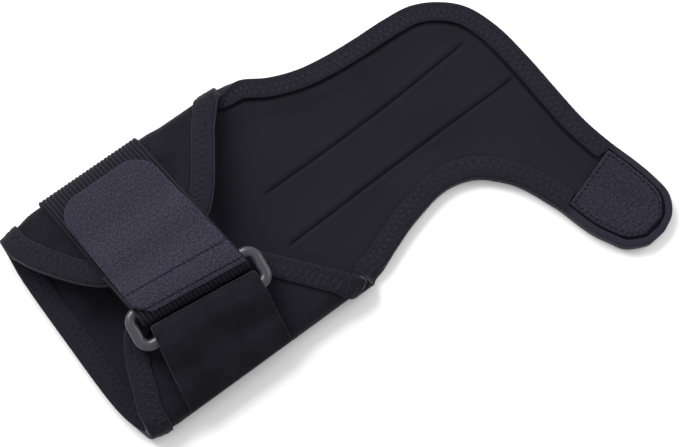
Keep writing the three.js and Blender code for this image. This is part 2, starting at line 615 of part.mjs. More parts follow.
// The ring: a rounded rod bent to a rounded rectangle, lying level over the crown.
function ring() {
  const corner = RING_CORNER - ROD_WIDTH / 2;
  const [a, b] = [(RING_LENGTH - ROD_WIDTH) / 2 - corner, (RING_HEIGHT - ROD_WIDTH) / 2 - corner];
  const path = [];
  [[1, 1, 0], [-1, 1, 90], [-1, -1, 180], [1, -1, 270]].forEach(([sx, sy, start]) => {
    for (let k = 0; k <= 4; k += 1) {
      const angle = THREE.MathUtils.degToRad(start + 22.5 * k);
      const out = new THREE.Vector3(Math.cos(angle), Math.sin(angle), 0);
      path.push({ at: new THREE.Vector3(sx * a, sy * b, 0).addScaledVector(out, corner), out });
    }
  });
  const SIDES = 10;
  const rows = path.map(({ at, out }) => Array.from({ length: SIDES }, (_, k) => {
    const angle = (-2 * Math.PI * k) / SIDES;
    const point = at.clone().addScaledVector(out, (ROD_WIDTH / 2) * Math.cos(angle));
    point.z = (ROD_DEPTH / 2) * Math.sin(angle);
    return point;
  }));
  const { name, points, faces, finish } = barSolid('ring', rows, true, FINISH.ring);
  const mesh = solid(name, points, faces, finish);
  const centre = place(RING_X, RING_AT, -(CLOTH / 2 + ROD_CENTRE));
  mesh.position.copy(centre);
  mesh.rotation.set((HALF_GIRTH - RING_AT) / -CROWN_RADIUS, 0, THREE.MathUtils.degToRad(RING_TURN), 'ZXY');
  return mesh;
}

// Hook patch on the tongue's tip, inside the binding and rounded as the tip is.
const PATCH_END = 2.6;        // how much further in the patch's rounded end lies
const PATCH_ROUND = 16.6;     // row from which it is rounded
function thumbPatch() {
  const patchRibs = PATCH_ROWS.map(({ inner, outer }) => {
    const round = smooth(inner, PATCH_ROUND, PATCH_ROWS[PATCH_ROWS.length - 1].inner);
    return tongueRib(inner, PATCH_MARGIN + PATCH_END * round ** 2, outer);
  });
  const middle = CLOTH / 2 + GAP + PATCH / 2;
  const key = (point, rib, index) => index / (rib.length - 1);
  const toPoint = (p, face) => place(p.x, p.s, middle + (face * PATCH) / 2);
  return clothSolid('thumb_hook_patch', patchRibs, key, toPoint, FINISH.hook);
}

const splint = new THREE.Group();
splint.add(wrapPanel(), ...bindings(), elasticStrap(), hookTab(), ring(), ringLoop(), thumbPatch());
const box = new THREE.Box3().setFromObject(splint, true);
splint.position.set(-(box.min.x + box.max.x) / 2, -(box.min.y + box.max.y) / 2, -box.min.z);
splint.updateMatrixWorld(true);

export default splint;
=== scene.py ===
# Looks for a wrist and thumb wrap lying with its lining up: laminated cloth with both flaps folded
# over, bound edges, ribbed elastic strap through a ring, hook tab, ring loop and thumb tongue.
import math
import bpy
import numpy as np
from mathutils import Matrix, Vector


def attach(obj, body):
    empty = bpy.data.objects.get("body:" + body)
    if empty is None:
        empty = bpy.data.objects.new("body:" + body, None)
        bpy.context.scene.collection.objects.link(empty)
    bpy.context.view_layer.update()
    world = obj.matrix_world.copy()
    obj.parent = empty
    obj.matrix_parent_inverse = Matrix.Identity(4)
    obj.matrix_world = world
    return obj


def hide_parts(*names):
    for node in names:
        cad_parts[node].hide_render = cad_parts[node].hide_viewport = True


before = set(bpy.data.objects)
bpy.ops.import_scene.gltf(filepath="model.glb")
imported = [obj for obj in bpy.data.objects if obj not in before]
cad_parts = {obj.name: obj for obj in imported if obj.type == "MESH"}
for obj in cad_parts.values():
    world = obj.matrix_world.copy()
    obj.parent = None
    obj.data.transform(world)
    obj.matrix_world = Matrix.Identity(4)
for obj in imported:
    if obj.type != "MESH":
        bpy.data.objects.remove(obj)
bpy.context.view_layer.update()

# Sizes in millimetres, as in the solids
CUFF_LENGTH = 103.0
BACK_WIDTH = 86.2
FOLD_RADIUS = 4.5
FLAP_SLOPE = math.radians(13)     # how steeply each flap leaves its fold
UPPER_FLAP = 53.4
LOWER_FLAP = 49.5
TONGUE_REACH = 111.0
TONGUE_DROP = 98.2
CLOTH = 2.5
TAPE = 0.8
TAPE_WIDTH = 7.2
STRAP = 1.4
STRAP_WIDTH = 44.0
TAB = 1.8
TAB_WIDTH = 42.5
TAB_TAPER = 3.0
TAB_CORNER = 10.0
TAB_TRIM = 4.5
RING_LENGTH = 56.0
RING_HEIGHT = 17.5
RING_CORNER = 6.0
ROD_WIDTH = 4.4
ROD_DEPTH = 3.6
RING_TURN = math.radians(-6.6)
LOOP = 1.5
LOOP_WIDTH = 42.5
PATCH = 1.5
PATCH_MARGIN = 2.2
GAP = 0.3
TAPE_GAP = 0.36
ROD_PLAY = 0.4
EDGE_RISE = 1.4                   # how much the bound edge curls up
EDGE_FADE = 10.0                  # length over which that dies out
LIFT_FADE = 8.0                   # the same for the lift over the strap
WRIST_PINCH = 0.045               # how much narrower the cuff is at its wrist end
WRIST_FADE = 15.0                 # length over which that dies out

BACK_HALF = BACK_WIDTH / 2
FOLD_ARC = FOLD_RADIUS * (math.pi - FLAP_SLOPE)
FOLD_END = BACK_HALF + FOLD_ARC
CROWN_RADIUS = BACK_HALF / math.sin(FLAP_SLOPE) + FOLD_RADIUS
HALF_GIRTH = FOLD_END + CROWN_RADIUS * FLAP_SLOPE
STRAP_LIFT = STRAP + GAP
TAPE_STACK = TAPE_GAP + TAPE
STRAP_X = 0.414 * CUFF_LENGTH
STRAP_SKEW = 0.06                 # drift along the wrist per millimetre across
STRAP_START = 0.15 * BACK_WIDTH
FLAP_TIP = BACK_HALF + UPPER_FLAP
RING_AT = FLAP_TIP + 22.8         # the ring's middle line, across the cloth
RING_X = STRAP_X + 3.5
LOOP_X = RING_X + 1.2
LOOP_SKEW = 0.15
LOOP_FLARE = 0.045
TAB_FAR = FOLD_END + 3.4
TAB_NEAR = RING_AT - 2.8
TURNED_END = TAB_NEAR - 24        # the strap's end under the tab
LOOP_AT = 2 * HALF_GIRTH - RING_AT
BIGHT_REACH = 0.4                 # how far the strap's turn stays short of RING_AT
LOOP_REACH = 0.4                  # the same for the loop's turn
LOOP_HEM = 0.65                   # share of the lower fold that the loop leaves bare
PATCH_END = 2.6                   # extra margin at the patch's far end
PATCH_ROUND = 16.6                # tongue row from which that end rounds
CLIMB_FROM, CLIMB_TO = 22.0, 12.0 # short of the flap's tip: the strap climbs onto the tape
BOW_END, OPEN_FROM, OPEN_TO = 0.3, 0.97, 1.11 # shares of CUFF_LENGTH
LIFT_MARGIN, LIFT_END = 3.0, 30.0 # beside the strap, and past the fold
CORNER_GAP = 0.4                  # from each corner to the tape's ends
ARM_CLEAR = 0.6                   # from the tape's arm to the hook patch
ORIGIN = np.array([-106.4985, 24.4161, 0.0]) # from the pattern to the part's frame

# (along, out): shares of the cuff's length and of the flap's length
UPPER_EDGE = [
    (.002, .333), (.021, .444), (.056, .578), (.096, .699), (.142, .811), (.197, .908), (.24, .953),
    (.3, .982), (.4, 1), (.54, .998), (.62, .97), (.676, .907), (.741, .775), (.81, .587),
    (.88, .392), (.94, .252), (.98, .122),
]
LOWER_EDGE = [
    (0, .36), (.022, .47), (.055, .64), (.102, .8), (.165, .923), (.26, .982), (.4, 1),
    (.52, .99), (.62, .945), (.7, .842), (.742, .754), (.813, .582), (.86, .465), (.92, .321),
    (.965, .206), (.99, .135),
]
# (across, inset): shares of the back's width and of the cuff's length
WRIST_BOW = [
    (-.7, .058), (-.65, .052), (-.58, .044), (-.5, .028), (-.42, .012), (-.32, .003), (0, 0),
    (.4, .003), (.5, .012), (.6, .016), (.75, .02),
]
# (in, low, out, high): shares of the tongue's reach and drop
TONGUE = [
    (-.026, -.533, -.026, .52), (.009, -.475, -.018, .493), (.063, -.461, .063, .476),
    (.135, -.43, .153, .414), (.216, -.397, .252, .371), (.297, -.373, .36, .35),
    (.37, -.357, .486, .34), (.428, -.358, .613, .336), (.486, -.375, .72, .321),
    (.534, -.405, .806, .27), (.571, -.446, .874, .188), (.611, -.501, .913, .053),
    (.641, -.568, .926, -.12), (.664, -.64, .928, -.304), (.68, -.691, .932, -.467),
    (.694, -.763, .951, -.604), (.714, -.844, .976, -.721), (.741, -.906, .991, -.823),
    (.765, -.956, .991, -.899), (.803, -.984, .955, -.963), (.838, -1, .903, -.994),
]
# (inner, outer): tongue rows that the hook patch runs along on its two sides
PATCH_ROWS = [
    (14.3, 15.1), (15, 15.6), (16, 16.3), (17, 17.1), (18, 18), (18.5, 18.5), (18.8, 18.8),
]
# Ribs and stitching, which only the looks have
RIBS, RIB_DEPTH, RIB_STEPS = 26, .34, 7  # across the elastic: how many, how deep, places in each
TAB_RUN = TAB_NEAR - TAB_FAR
SEWN_ROWS = (1.7, 9.6)            # stitch rows across the tab, from its near end
STITCH_PITCH = 1.35               # from turn to turn of the tape's zigzag
ZIGZAG_NEAR, ZIGZAG_HEM = 1.9, 1.0  # from the cut edge, and from the tape's inner edge
TAB_HEM, TAB_PITCH, TAB_STITCH = 1.3, 1.9, 1.2
PATCH_HEM, PATCH_PITCH, PATCH_STITCH = 1.4, 2.1, 1.4
THREAD = .5                       # thickness of every thread
# Pressed seam lines of the lining: pattern places (x, s) of their two ends, and their bow
SEAMS = [((89.0, 4.3), (193.0, 8.2), -1.4), ((84.0, -17.9), (200.0, -15.2), .4)]
SEAM_FADE = 6.0                   # length over which a seam dies out at its ends
TAPE_SHADOW_AT, TAPE_SHADOW_HALF = 7.7, .3       # painted shadow of the tape's raised inner edge, along the crease beside it: from the outer cut edge, half its width

ROW_STEPS = 16                    # places from each tongue row to the next
LAST_RIB = .963                   # where the tongue's rows take over, as a share of CUFF_LENGTH

FINE = 1.0      # share of the cloth meshes' fineness


def smooth(value, low, high):
    """0 below low, 1 above high and a soft rise between them."""
    share = np.clip((np.asarray(value, float) - low) / (high - low), 0, 1)
    return share * share * (3 - 2 * share)


def mix(a, b, share):
    """From a to b by a share."""
    return a + (b - a) * share


def run_of(line):
    """The distance along a line at each of its points."""
    return np.concatenate([[0], np.cumsum(np.hypot(*np.diff(line, axis=0).T))])


def smooth_line(points, steps):
    """A rounded line through the points, with steps places from each point to the next."""
    p = np.array(points, float)
    p = np.vstack([2 * p[0] - p[1], p, 2 * p[-1] - p[-2]])
    line = []
    for k in range(1, len(p) - 2):
        a, b, c, d = p[k - 1:k + 3]
        u, v, w = (max(np.linalg.norm(q) ** .5, 1e-4) for q in (b - a, c - b, d - c))
        go = ((b - a) / u - (c - a) / (u + v) + (c - b) / v) * v
        come = ((c - b) / v - (d - b) / (v + w) + (d - c) / w) * v
        square, cube = 3 * (c - b) - 2 * go - come, 2 * (b - c) + go + come
        for t in np.linspace(0, 1, steps, endpoint=False):
            line.append(b + go * t + square * t ** 2 + cube * t ** 3)
    return np.array(line + [p[-2]])


def flap_line(rows, flap):
    """A flap's free edge, as (along, out) in millimetres."""
    return smooth_line([(a * CUFF_LENGTH, BACK_HALF + o * flap) for a, o in rows], 8)


upper_line = flap_line(UPPER_EDGE, UPPER_FLAP)
lower_line = flap_line(LOWER_EDGE, LOWER_FLAP)
bow_line = smooth_line([(a * BACK_WIDTH, i * CUFF_LENGTH) for a, i in WRIST_BOW], 6)


def tongue_line(side):
    """The tongue's hollow side (0) or outer side (1)."""
    rows = [row[2 * side:2 * side + 2] for row in TONGUE]
    points = [(CUFF_LENGTH + past * TONGUE_REACH, aside * TONGUE_DROP) for past, aside in rows]
    return smooth_line(points, ROW_STEPS)


inner_line, outer_line = tongue_line(0), tongue_line(1)


def read(line, at):
    """A line's second value where its first is at."""
    return np.interp(at, line[:, 0], line[:, 1])


def cuff_rib(along, shares):
    """Pattern places (x, s) across the cuff at one distance along the wrist."""
    low, high = -read(lower_line, along), read(upper_line, along)
    s = mix(low, high, shares)
    bow = read(bow_line, s) * (1 - smooth(along, 0, BOW_END * CUFF_LENGTH))
    return np.stack([along + bow, s], 1)


def tongue_rib(row, shares):
    """Pattern places (x, s) across the tongue at one of its rows, or between two."""
    at = np.clip(row * ROW_STEPS, 0, len(inner_line) - 1)
    index = np.arange(len(inner_line))
    inner, outer = (
        np.array([np.interp(at, index, line[:, k]) for k in (0, 1)])
        for line in (inner_line, outer_line)
    )
    return inner + np.asarray(shares)[:, None] * (outer - inner)


def cuff_alongs(step):
    """Close together at the wrist end, where the edge turns, and evenly from there."""
    start = CUFF_LENGTH * np.array([0, .002, .005, .009, .014, .02, .027, .035])
    last = LAST_RIB * CUFF_LENGTH
    rest = np.arange(start[-1] + step * .6, last, step)
    return np.concatenate([start, rest, [last]])


def tongue_numbers(steps):
    """Row numbers along the tongue, with steps places to each row."""
    return np.linspace(0, len(TONGUE) - 1, (len(TONGUE) - 1) * steps + 1)


def cloth_edge():
    """The cut edge as a closed line, and where the tongue's share of it starts and ends."""
    ends = np.array([0.0, 1.0])
    cuff = np.array([cuff_rib(a, ends) for a in cuff_alongs(.8)])
    tongue = np.array([tongue_rib(r, ends) for r in tongue_numbers(10)])
    tip = tongue_rib(len(TONGUE) - 1, np.linspace(0, 1, 12)[1:-1])
    wrist = cuff_rib(0, np.linspace(1, 0, 130)[1:-1])
    line = np.concatenate([cuff[:, 0], tongue[:, 0], tip, tongue[::-1, 1], cuff[::-1, 1], wrist])
    low = len(cuff)
    high = low + 2 * len(tongue) + len(tip) - 1
    return line, low, high


edge, low_corner, high_corner = cloth_edge()


def line_distance(x, s, a, b):
    """How far each place is from the nearest of the straight steps from a to b."""
    p = np.stack([np.ravel(x), np.ravel(s)], 1)
    best = np.zeros(len(p))
    step = b - a
    size = np.maximum((step ** 2).sum(1), 1e-12)
    batch = 4000
    for start in range(0, len(p), batch):
        part = p[start:start + batch]
        off = part[:, None, :] - a[None]
        share = np.clip((off * step[None]).sum(2) / size, 0, 1)
        gap = np.hypot(off[..., 0] - share * step[:, 0], off[..., 1] - share * step[:, 1])
        best[start:start + batch] = gap.min(1)
    return best.reshape(np.shape(x))


def edge_distance(x, s):
    """How far each place is from the cut edge."""
    return line_distance(x, s, edge, np.roll(edge, -1, 0))


def fold_path(reach, hold):
    """Flat back, fold and crown: how far across, how high and how turned the cloth is."""
    across, height, turned = np.zeros_like(reach), np.zeros_like(reach), np.zeros_like(reach)
    left = reach.copy()
    for length, radius in ((BACK_HALF, None), (FOLD_ARC, FOLD_RADIUS), (1e9, CROWN_RADIUS)):
        step = np.clip(left, 0, length)
        bend = hold / radius if radius else np.zeros_like(hold)
        safe = np.where(bend < 1e-6, 1, bend)
        after = turned + step * bend
        straight = bend < 1e-6
        across += np.where(straight, step * np.cos(turned), (np.sin(after) - np.sin(turned)) / safe)
        height += np.where(straight, step * np.sin(turned), (np.cos(turned) - np.cos(after)) / safe)
        turned = after
        left = left - step
    return across, height, turned


def strap_middle(s):
    """The strap's middle along the wrist, where it is s across the cloth."""
    return STRAP_X + STRAP_SKEW * (s - FOLD_END)


def loop_middle(s):
    """The ring loop's middle along the wrist, where it is s across the cloth."""
    return LOOP_X + LOOP_SKEW * (s - LOOP_AT)


def strap_lift(x, s):
    """How much the strap under the back lifts the cloth."""
    aside = np.abs(x - strap_middle(s)) - STRAP_WIDTH / 2 - LIFT_MARGIN
    start = smooth(s, STRAP_START - LIFT_FADE - LIFT_MARGIN, STRAP_START - LIFT_MARGIN)
    end = 1 - smooth(s, FOLD_END, FOLD_END + LIFT_END)
    return STRAP_LIFT * start * end * (1 - smooth(aside, 0, LIFT_FADE))


def place(x, s, t, to_frame=True):
    """Pattern places to the object: x along the wrist, s across the cloth, t up to the lining."""
    x, s, t = np.broadcast_arrays(np.asarray(x, float), np.asarray(s, float), np.asarray(t, float))
    hold = 1 - smooth(x, OPEN_FROM * CUFF_LENGTH, OPEN_TO * CUFF_LENGTH)
    side = np.where(s < 0, -1.0, 1.0)
    across, height, turned = fold_path(np.abs(s), hold)
    curl = EDGE_RISE * (1 - smooth(edge_distance(x, s), TAPE_WIDTH, TAPE_WIDTH + EDGE_FADE))
    rise = strap_lift(x, s) + curl * np.maximum(0, np.cos(turned))
    pinch = 1 - WRIST_PINCH * (1 - smooth(x, 0, WRIST_FADE))
    y = side * pinch * (across - t * np.sin(turned))
    z = CLOTH / 2 + height + t * np.cos(turned) + rise
    p = np.stack([x, y, z], -1)
    return (p + ORIGIN) / 1000 if to_frame else p


def make_mesh(name, points, faces, uv=None, slots=None, materials=()):
    """uv holds a pair per face corner and slots a material number per face."""
    data = bpy.data.meshes.new(name)
    data.from_pydata([tuple(p) for p in points], [], [tuple(f) for f in faces])
    for m in materials:
        data.materials.append(m)
    if uv is not None:
        layer = data.uv_layers.new(name="pattern")
        layer.data.foreach_set("uv", np.asarray(uv, np.float32).ravel())
    if slots is not None:
        data.polygons.foreach_set("material_index", np.asarray(slots, np.int32))
    data.polygons.foreach_set("use_smooth", np.ones(len(data.polygons), bool))
    data.update()
    data.validate(clean_customdata=False)
    obj = bpy.data.objects.new(name, data)
    bpy.context.collection.objects.link(obj)
    return obj


def grid_faces(rows, columns, wrap=False):
    """Four corners for each face of a grid of points; wrap joins its last column to the first."""
    across = columns if wrap else columns - 1
    r, c = np.meshgrid(np.arange(rows - 1), np.arange(across), indexing="ij")
    r, c = r.ravel(), c.ravel()
    d, here, above = (c + 1) % columns, r * columns, (r + 1) * columns
    return np.stack([here + c, here + d, above + d, above + c], 1)


def volume(points, faces):
    """Six times the volume inside the faces, below 0 where they point inwards."""
    total = 0.0
    for k in range(1, faces.shape[1] - 1):
        a, b, c = points[faces[:, 0]], points[faces[:, k]], points[faces[:, k + 1]]
        total += np.einsum("ij,ij->i", a, np.cross(b, c)).sum()
    return total


def sweep(name, rows, uv, materials, closed=False):
    """A closed skin over sections; rows holds their corners and uv one column more."""
    count, corners = rows.shape[:2]
    points = rows.reshape(-1, 3)
    turns = count + 1 if closed else count
    faces = grid_faces(turns, corners, wrap=True) % len(points)
    r, c = np.meshgrid(np.arange(turns - 1), np.arange(corners), indexing="ij")
    r, c = r.ravel(), c.ravel()
    corner_uv = np.stack([uv[r, c], uv[r, c + 1], uv[r + 1, c + 1], uv[r + 1, c]], 1)
    flip = volume(points, faces) < 0
    if flip:
        faces, corner_uv = faces[:, ::-1], corner_uv[:, ::-1]
    face_list = [tuple(f) for f in faces]
    uv_list = [corner_uv.reshape(-1, 2)]
    if not closed:
        around = np.arange(corners)
        start, finish = (around, around[::-1]) if flip else (around[::-1], around)
        face_list += [tuple(start), tuple(finish + (count - 1) * corners)]
        uv_list += [uv[0, start], uv[-1, finish]]
    return make_mesh(name, points, face_list, np.concatenate(uv_list), None, materials)


# Finishes. UV coordinates are in millimetres of each piece's own pattern.
def add_node(tree, kind, feeds, **settings):
    """A node's outputs, with its inputs fed by values or by other nodes' outputs."""
    node = tree.nodes.new(kind)
    for label, choice in settings.items():
        setattr(node, label, choice)
    for label, feed in feeds.items():
        if isinstance(feed, bpy.types.NodeSocket):
            tree.links.new(feed, node.inputs[label])
        else:
            node.inputs[label].default_value = feed
    return node.outputs


class Finish:
    """A material built step by step from the pattern's own millimetres."""

    def __init__(self, name, color, roughness, specular=.5, sheen=0.0):
        self.material = bpy.data.materials.new(name)
        self.material.use_nodes = True
        self.tree = self.material.node_tree
        self.shader = self.tree.nodes["Principled BSDF"]
        self.color = color
        for label, value in {
            "Base Color": (*color, 1), "Roughness": roughness, "Specular IOR Level": specular,
            "Sheen Weight": sheen, "Sheen Roughness": .35,
        }.items():
            self.shader.inputs[label].default_value = value
        self.uv = self.add("ShaderNodeUVMap", {}, uv_map="pattern")["UV"]

    def add(self, kind, feeds, **settings):
        return add_node(self.tree, kind, feeds, **settings)

    def placed(self, location=(0, 0, 0), turn=0.0):
        """The pattern turned and moved."""
        feeds = {"Vector": self.uv, "Location": location, "Rotation": (0, 0, turn)}
        return self.add("ShaderNodeMapping", feeds)["Vector"]

    def axes(self, vector):
        parts = self.add("ShaderNodeSeparateXYZ", {"Vector": vector})
        return parts["X"], parts["Y"]

    def point_value(self, name):
        return self.add("ShaderNodeAttribute", {}, attribute_name=name)["Fac"]

    def noise(self, scale, detail=2.0, rough=.5):
        feeds = {"Vector": self.uv, "Scale": scale, "Detail": detail, "Roughness": rough}
        return self.add("ShaderNodeTexNoise", feeds)["Fac"]

    def math(self, how, a, b=0.0):
        return self.add("ShaderNodeMath", {0: a, 1: b}, operation=how)[0]

    def rise(self, value, low, high, to_low=0.0, to_high=1.0):
        """Goes softly from to_low to to_high as the value goes from low to high."""
        feeds = {"Value": value, "From Min": low, "From Max": high,
                 "To Min": to_low, "To Max": to_high}
        return self.add("ShaderNodeMapRange", feeds, interpolation_type="SMOOTHSTEP")["Result"]

    def line(self, value, half, soft, keep):
        """keep where the value is near 0, and 1 away from it."""
        return self.rise(self.math("ABSOLUTE", value), half, half + soft, keep, 1.0)

    def bars(self, value, pitch, low, high):
        """Goes between low and high once in every pitch, and is high at 0."""
        turned = self.math("COSINE", self.math("MULTIPLY", value, 2 * math.pi / pitch))
        return self.rise(turned, -1, 1, low, high)

    def product(self, *values):
        total = values[0]
        for value in values[1:]:
            total = self.math("MULTIPLY", total, value)
        return total

    def tint(self, factor):
        """The base colour times a factor from 0 to 2."""
        ramp = self.add("ShaderNodeValToRGB", {"Fac": self.math("MULTIPLY", factor, .5)})["Color"]
        for element, share in zip(ramp.node.color_ramp.elements, (0, 2)):
            element.color = (*(share * k for k in self.color), 1)
        self.tree.links.new(ramp, self.shader.inputs["Base Color"])

    def bump(self, height, strength, distance):
        feeds = {"Height": height, "Strength": strength, "Distance": distance}
        normal = self.add("ShaderNodeBump", feeds)["Normal"]
        self.tree.links.new(normal, self.shader.inputs["Normal"])


def pressed_seam(f, start, end, bow):
    """Dark along one pressed seam of the lining."""
    span = np.subtract(end, start)
    length = float(np.hypot(*span))
    c, n = span / length
    back = (-float(start[0] * c + start[1] * n), float(start[0] * n - start[1] * c), 0)
    along, aside = f.axes(f.placed(back, -math.atan2(n, c)))
    curve = f.math("MULTIPLY", f.math("SINE", f.math("MULTIPLY", along, math.pi / length)), bow)
    line = f.line(f.math("SUBTRACT", aside, curve), .2, .65, .30)
    inside = f.product(f.rise(along, 0, SEAM_FADE), f.rise(along, length - SEAM_FADE, length, 1, 0))
    return f.math("ADD", f.math("MULTIPLY", f.math("SUBTRACT", line, 1), inside), 1)


def smooth_lining():
    f = Finish("smooth_lining", LINING_COLOR, .8, .05, .03)
    grain = f.rise(f.noise(2.4, 2), .25, .75, .93, 1.07)
    cloudy = f.rise(f.noise(.03, 3), .3, .7, .93, 1.07)
    # painted shadow: the lining is darkened in a thin line beside the tape's inner edge, where the
    # raised tape shades it
    tape_shadow = f.line(f.math("SUBTRACT", f.point_value("from_outer"), TAPE_SHADOW_AT), TAPE_SHADOW_HALF, .7, .45)
    f.tint(f.product(grain, cloudy, tape_shadow, *(pressed_seam(f, *seam) for seam in SEAMS)))
    f.bump(f.noise(2.2, 3), .3, .0002)
    return f.material


def brushed_cloth(name, color):
    f = Finish(name, color, .95, .05, .14)
    nap = f.rise(f.noise(.9, 4, .7), .3, .7, .82, 1.2)
    worn = f.rise(f.noise(.07, 4), .3, .7, .8, 1.2)
    f.tint(f.product(nap, worn))
    f.bump(f.noise(1.6, 4, .7), .55, .0004)
    return f.material


def knitted_tape(name, paler=None):
    """Mottled tape; paler is the stretch of its run that is as pale as the hook patch."""
    f = Finish(name, TAPE_COLOR, .9, .05, .15)
    run, around = f.axes(f.uv)
    knit = f.product(f.bars(run, 1.05, .86, 1.12), f.bars(around, .95, .88, 1.1))
    specks = f.rise(f.noise(.85, 2), .55, .68, 1.08, .62)
    tones = [knit, specks]
    if paler:
        low, high = paler
        middle, half = (low + high) / 2, (high - low) / 2
        tones.append(f.line(f.math("SUBTRACT", run, middle), half - 5, 6, 1.7))
    f.tint(f.product(*tones))
    f.bump(f.product(knit, f.noise(2.6, 2)), .5, .0004)
    return f.material


def hook_cloth(name, color, grain, rows=(), cut=None):
    """Hook cloth with a dotted grain: rows are dark sewn lines, cut is the end of its run, whose
    edge gets a painted highlight.
    """
    f = Finish(name, color, .85, .08, .10)
    across, run = f.axes(f.uv)
    dots = f.rise(f.noise(grain, 2.5, .6), .34, .66, .62, 1.38)
    twill = f.bars(f.math("ADD", across, f.math("MULTIPLY", run, .8)), .9, .92, 1.08)
    lines = [f.line(f.math("SUBTRACT", run, at), .15, .5, .5) for at in rows]
    if cut:
        # painted highlight: the last half millimetre before the cut end is lightened
        lines.append(f.rise(run, cut - .55, cut - .25, 1, 1.4))
    f.tint(f.product(dots, twill, *lines))
    f.bump(dots, .6, .0004)
    return f.material


def ribbed_elastic():
    f = Finish("ribbed_elastic", ELASTIC_COLOR, .8, .06, .05)
    across, run = f.axes(f.uv)
    ribs = f.bars(across, STRAP_WIDTH / RIBS, .58, 1.5)
    knots = f.bars(run, 1.1, .85, 1.15)
    f.tint(f.product(ribs, knots, f.rise(f.noise(1.2, 2), .3, .7, .88, 1.12)))
    f.bump(knots, .5, .0003)
    return f.material


def satin_plastic():
    f = Finish("satin_plastic", RING_COLOR, .30, .55)
    f.bump(f.noise(.35, 2), .06, .0003)
    return f.material


LINING_COLOR = (.0110, .0102, .0150)
NAP_COLOR = (.0097, .0092, .0131)
LOOP_COLOR = (.0092, .0088, .0122)
TAPE_COLOR = (.0126, .0117, .0175)
TAB_COLOR = (.0255, .0235, .0375)
TIP_COLOR = (.0195, .0177, .0285)
ELASTIC_COLOR = (.0118, .0113, .0155)
RING_COLOR = (.0300, .0285, .0370)


def tip_run():
    """The stretch of the thumb tape's run that passes the hook patch."""
    line = edge[low_corner:high_corner + 1]
    run = run_of(line)
    ends = (tongue_rib(PATCH_ROWS[0][0], [0.0])[0], tongue_rib(PATCH_ROWS[0][1], [1.0])[0])
    return tuple(float(run[np.hypot(*(line - end).T).argmin()]) for end in ends)


TIP_RUN = tip_run()
LINING = smooth_lining()
NAP = brushed_cloth("brushed_face", NAP_COLOR)
LOOP_NAP = brushed_cloth("loop_cloth", LOOP_COLOR)
CUFF_KNIT = knitted_tape("cuff_tape_knit")
THUMB_KNIT = knitted_tape("thumb_tape_knit", TIP_RUN)
HOOK = hook_cloth("woven_tab", TAB_COLOR, 1.15, [TAB_RUN - back for back in SEWN_ROWS], TAB_RUN)
TIP_HOOK = hook_cloth("tip_patch", TIP_COLOR, 1.0)
ELASTIC = ribbed_elastic()
PLASTIC = satin_plastic()
TAPE_THREAD = Finish("tape_thread", (.0215, .020, .029), .85, .05, .1).material
DARK_THREAD = Finish("dark_thread", (.006, .006, .009), .8, .05).material


# Wrap cloth
def seam_depth(x, s):
    """How deep the pressed seams of the lining lie, in millimetres."""
    depth = np.zeros_like(x)
    for (x0, s0), (x1, s1), bow in SEAMS:
        d = np.array([x1 - x0, s1 - s0])
        length = np.hypot(*d)
        d = d / length
        along = (x - x0) * d[0] + (s - s0) * d[1]
        aside = -(x - x0) * d[1] + (s - s0) * d[0] - bow * np.sin(math.pi * along / length)
        ends = smooth(along, 0, SEAM_FADE) * (1 - smooth(along, length - SEAM_FADE, length))
        groove = .55 * np.exp(-(aside / .75) ** 2)
        shoulders = .18 * np.exp(-((np.abs(aside) - 2.2) / 1.3) ** 2)
        depth += ends * (groove - shoulders)
    return depth


def soft_waves(x, s):
    """Slow unevenness of the lining, in millimetres."""
    broad = .16 * np.sin(x / 9.1 + s / 14.3) * np.sin(s / 11.7 - x / 31.0)
    return broad + .10 * np.sin(x / 5.3 - s / 7.9 + 1.3)


def wrap_cloth():
    """Lining, outer face and cut edge as one closed skin."""
    columns = int(150 * FINE)
    shares = np.linspace(0, 1, columns)
    ribs = [cuff_rib(a, shares) for a in cuff_alongs(1.3 / FINE)]
    ribs += [tongue_rib(r, shares) for r in tongue_numbers(int(8 * FINE) + 1)]
    p = np.array(ribs)
    x, s = p[..., 0], p[..., 1]
    inside = smooth(edge_distance(x, s), 1, 9)
    top = place(x, s, CLOTH / 2 - seam_depth(x, s) * inside + soft_waves(x, s) * inside)
    low = place(x, s, -CLOTH / 2)
    rows, cols = x.shape
    count = rows * cols
    points = np.concatenate([top.reshape(-1, 3), low.reshape(-1, 3)])
    quads = grid_faces(rows, cols)
    uv = np.stack([x.ravel(), s.ravel()], 1)
    rim = np.concatenate([
        np.arange(rows) * cols, (rows - 1) * cols + np.arange(1, cols - 1),
        (np.arange(rows) * cols + cols - 1)[::-1], np.arange(1, cols - 1)[::-1],
    ])
    after = np.roll(rim, -1)
    sides = np.stack([rim, after, after + count, rim + count], 1)
    lower = quads[:, ::-1] + count
    faces = np.concatenate([quads, lower, sides])
    if volume(points, faces) < 0:
        faces = faces[:, ::-1]
    # faces of the lining first, then the outer face, then the cut edge under the tape
    slots = np.concatenate([np.zeros(len(quads)), np.ones(len(quads)), np.ones(len(sides))])
    obj = make_mesh("wrap_cloth", points, faces, uv[faces.ravel() % count], slots, (LINING, NAP))
    # distance from the tongue's outer side, which places the painted tape shadow on the lining
    from_outer = line_distance(x, s, outer_line[:-1], outer_line[1:]).ravel()
    attribute = obj.data.attributes.new("from_outer", "FLOAT", "POINT")
    attribute.data.foreach_set("value", np.tile(from_outer, 2).astype(np.float32))
    return obj


# Edge tape
def edge_stations(first, last, step):
    """Evenly spaced places on the cut edge with their inward direction."""
    beyond = 60                   # edge points past each end, so that the ends have a direction too
    line = edge[np.arange(first - beyond, last + beyond + 1) % len(edge)]
    run = run_of(line)
    start, length = run[beyond], run[-1 - beyond] - run[beyond]
    at = np.linspace(CORNER_GAP, length - CORNER_GAP, int((length - 2 * CORNER_GAP) / step) + 1)
    reach = 3.0

    def spot(where):
        return np.stack([np.interp(where + start, run, line[:, k]) for k in (0, 1)], 1)

    ahead = spot(at + reach) - spot(at - reach)
    ahead /= np.linalg.norm(ahead, axis=1)[:, None]
    return spot(at), np.stack([-ahead[:, 1], ahead[:, 0]], 1), at


